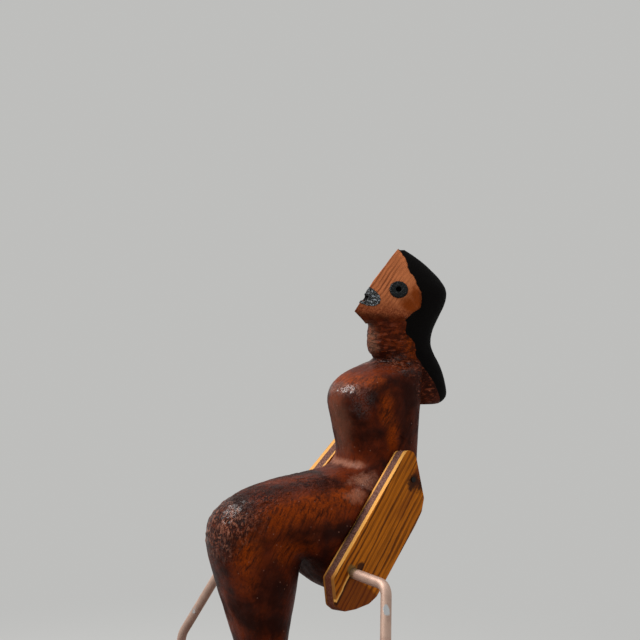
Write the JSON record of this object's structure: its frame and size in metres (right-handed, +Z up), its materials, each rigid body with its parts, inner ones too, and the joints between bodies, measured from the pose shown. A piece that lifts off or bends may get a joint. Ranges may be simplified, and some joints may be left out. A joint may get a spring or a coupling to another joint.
{
  "type": "hand-cranked rocking figure",
  "caption": "Carved seated figure that rocks on bent rods above an open wooden box, driven by a side crank, an off-centre disc and a link.",
  "frame": {"origin": "middle of the base board's underside, under the crankshaft's axis, on the surface that the object stands on", "axes": "+X to the figure's left, where the crank is; +Y to the figure's back; +Z up"},
  "size_m": [0.2074, 0.1252, 0.2377],
  "materials": {
    "stained_board": "stained dark and varnished",
    "plywood": "varnished three-ply",
    "link_plywood": "bare plywood",
    "carved_wood": "stained red-brown and varnished",
    "black_lacquer": "gloss",
    "copper_rod": "copper coated, worn",
    "brass": "turned",
    "brass_screws": "aged",
    "steel": "ground",
    "dark_pins": "blackened",
    "beech": "bare beech",
    "stained_knob": "stained and varnished"
  },
  "bodies": {
    "base": {"base_board": "stained_board", "top_board": "stained_board", "side_board_left": "plywood", "side_board_right": "plywood", "rod_block_left": "stained_board", "rod_block_right": "stained_board", "box_screws": "brass_screws", "shaft_bush_left": "brass", "shaft_bush_right": "brass", "support_rod_left": "copper_rod", "support_rod_right": "copper_rod"},
    "figure": {"carved_figure": "carved_wood", "eye_ring_left": "black_lacquer", "eye_ring_right": "black_lacquer", "mouth": "black_lacquer", "hip_plate_left": "plywood", "hip_plate_right": "plywood", "hip_plate_pins": "dark_pins", "foot_pins": "dark_pins"},
    "crank": {"crankshaft": "steel", "shaft_collar_left": "brass", "shaft_collar_right": "brass", "collar_screws": "steel", "eccentric_disc": "beech", "eccentric_cheek_left": "beech", "eccentric_cheek_right": "beech", "eccentric_pins": "dark_pins", "crank_spacer": "steel", "crank_arm": "plywood", "crank_arm_pin": "steel", "handle_spindle": "steel", "handle_washer": "steel", "handle_cap": "brass"},
    "link": {"connecting_link": "link_plywood"},
    "knob": {"handle_knob": "stained_knob"}
  },
  "joints": [
    {"name": "figure_rock", "type": "hinge", "parent": "base", "child": "figure", "pos_m": [0, 0.0125, 0.139], "axis": [1, 0, 0], "range_deg": [-10, 10]},
    {"name": "crank_spin", "type": "hinge", "parent": "base", "child": "crank", "pos_m": [0, 0, 0.038], "axis": [1, 0, 0], "continuous": true},
    {"name": "link_swing", "type": "hinge", "parent": "crank", "child": "link", "pos_m": [0, -0.005, 0.038], "axis": [1, 0, 0], "continuous": true},
    {"name": "knob_spin", "type": "hinge", "parent": "crank", "child": "knob", "pos_m": [0.10515, 0, 0.015], "axis": [1, 0, 0], "continuous": true}
  ],
  "couplings": [
    {"joint": "link_swing", "follows": "crank_spin", "ratio": -1}
  ]
}
